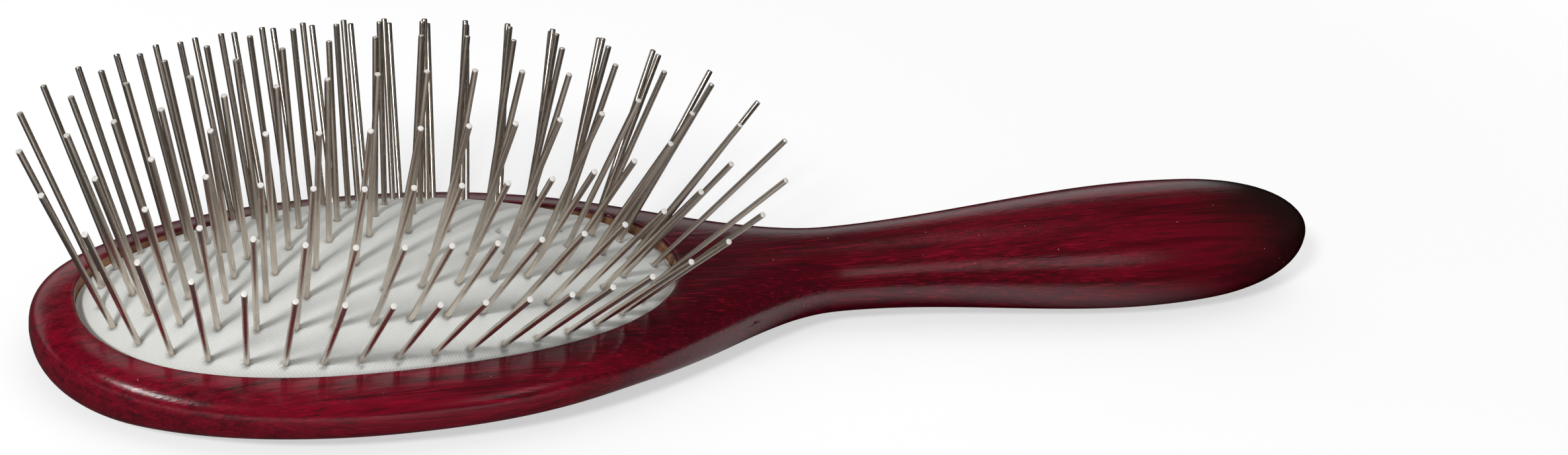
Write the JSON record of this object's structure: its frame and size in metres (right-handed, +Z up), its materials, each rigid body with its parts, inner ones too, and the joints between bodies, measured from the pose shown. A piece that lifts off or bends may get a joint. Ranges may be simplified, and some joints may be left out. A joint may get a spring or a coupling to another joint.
{
  "type": "pin brush",
  "caption": "Grooming pin brush for pets: a lacquered wooden handle and oval head, a domed rubber cushion pad set in the head, and straight steel pins that fan out of the pad.",
  "frame": {"origin": "middle of the brush's bounding box, on the plane that it rests on", "axes": "+X along the brush from the head's tip towards the handle's end, +Y across it, +Z up out of the pad, as the brush lies on its back with the pins up"},
  "size_m": [0.242, 0.0818, 0.0521],
  "materials": {
    "lacquered_wood": "gloss lacquer",
    "pad_rubber": "matte, fabric-faced",
    "pin_steel": "polished"
  },
  "bodies": {
    "root": {"wooden_body": "lacquered_wood", "cushion_pad": "pad_rubber", "pins_centre_row": "pin_steel", "pins_inner_ring": "pin_steel", "pins_second_ring": "pin_steel", "pins_third_ring": "pin_steel", "pins_outer_ring": "pin_steel"}
  },
  "joints": []
}
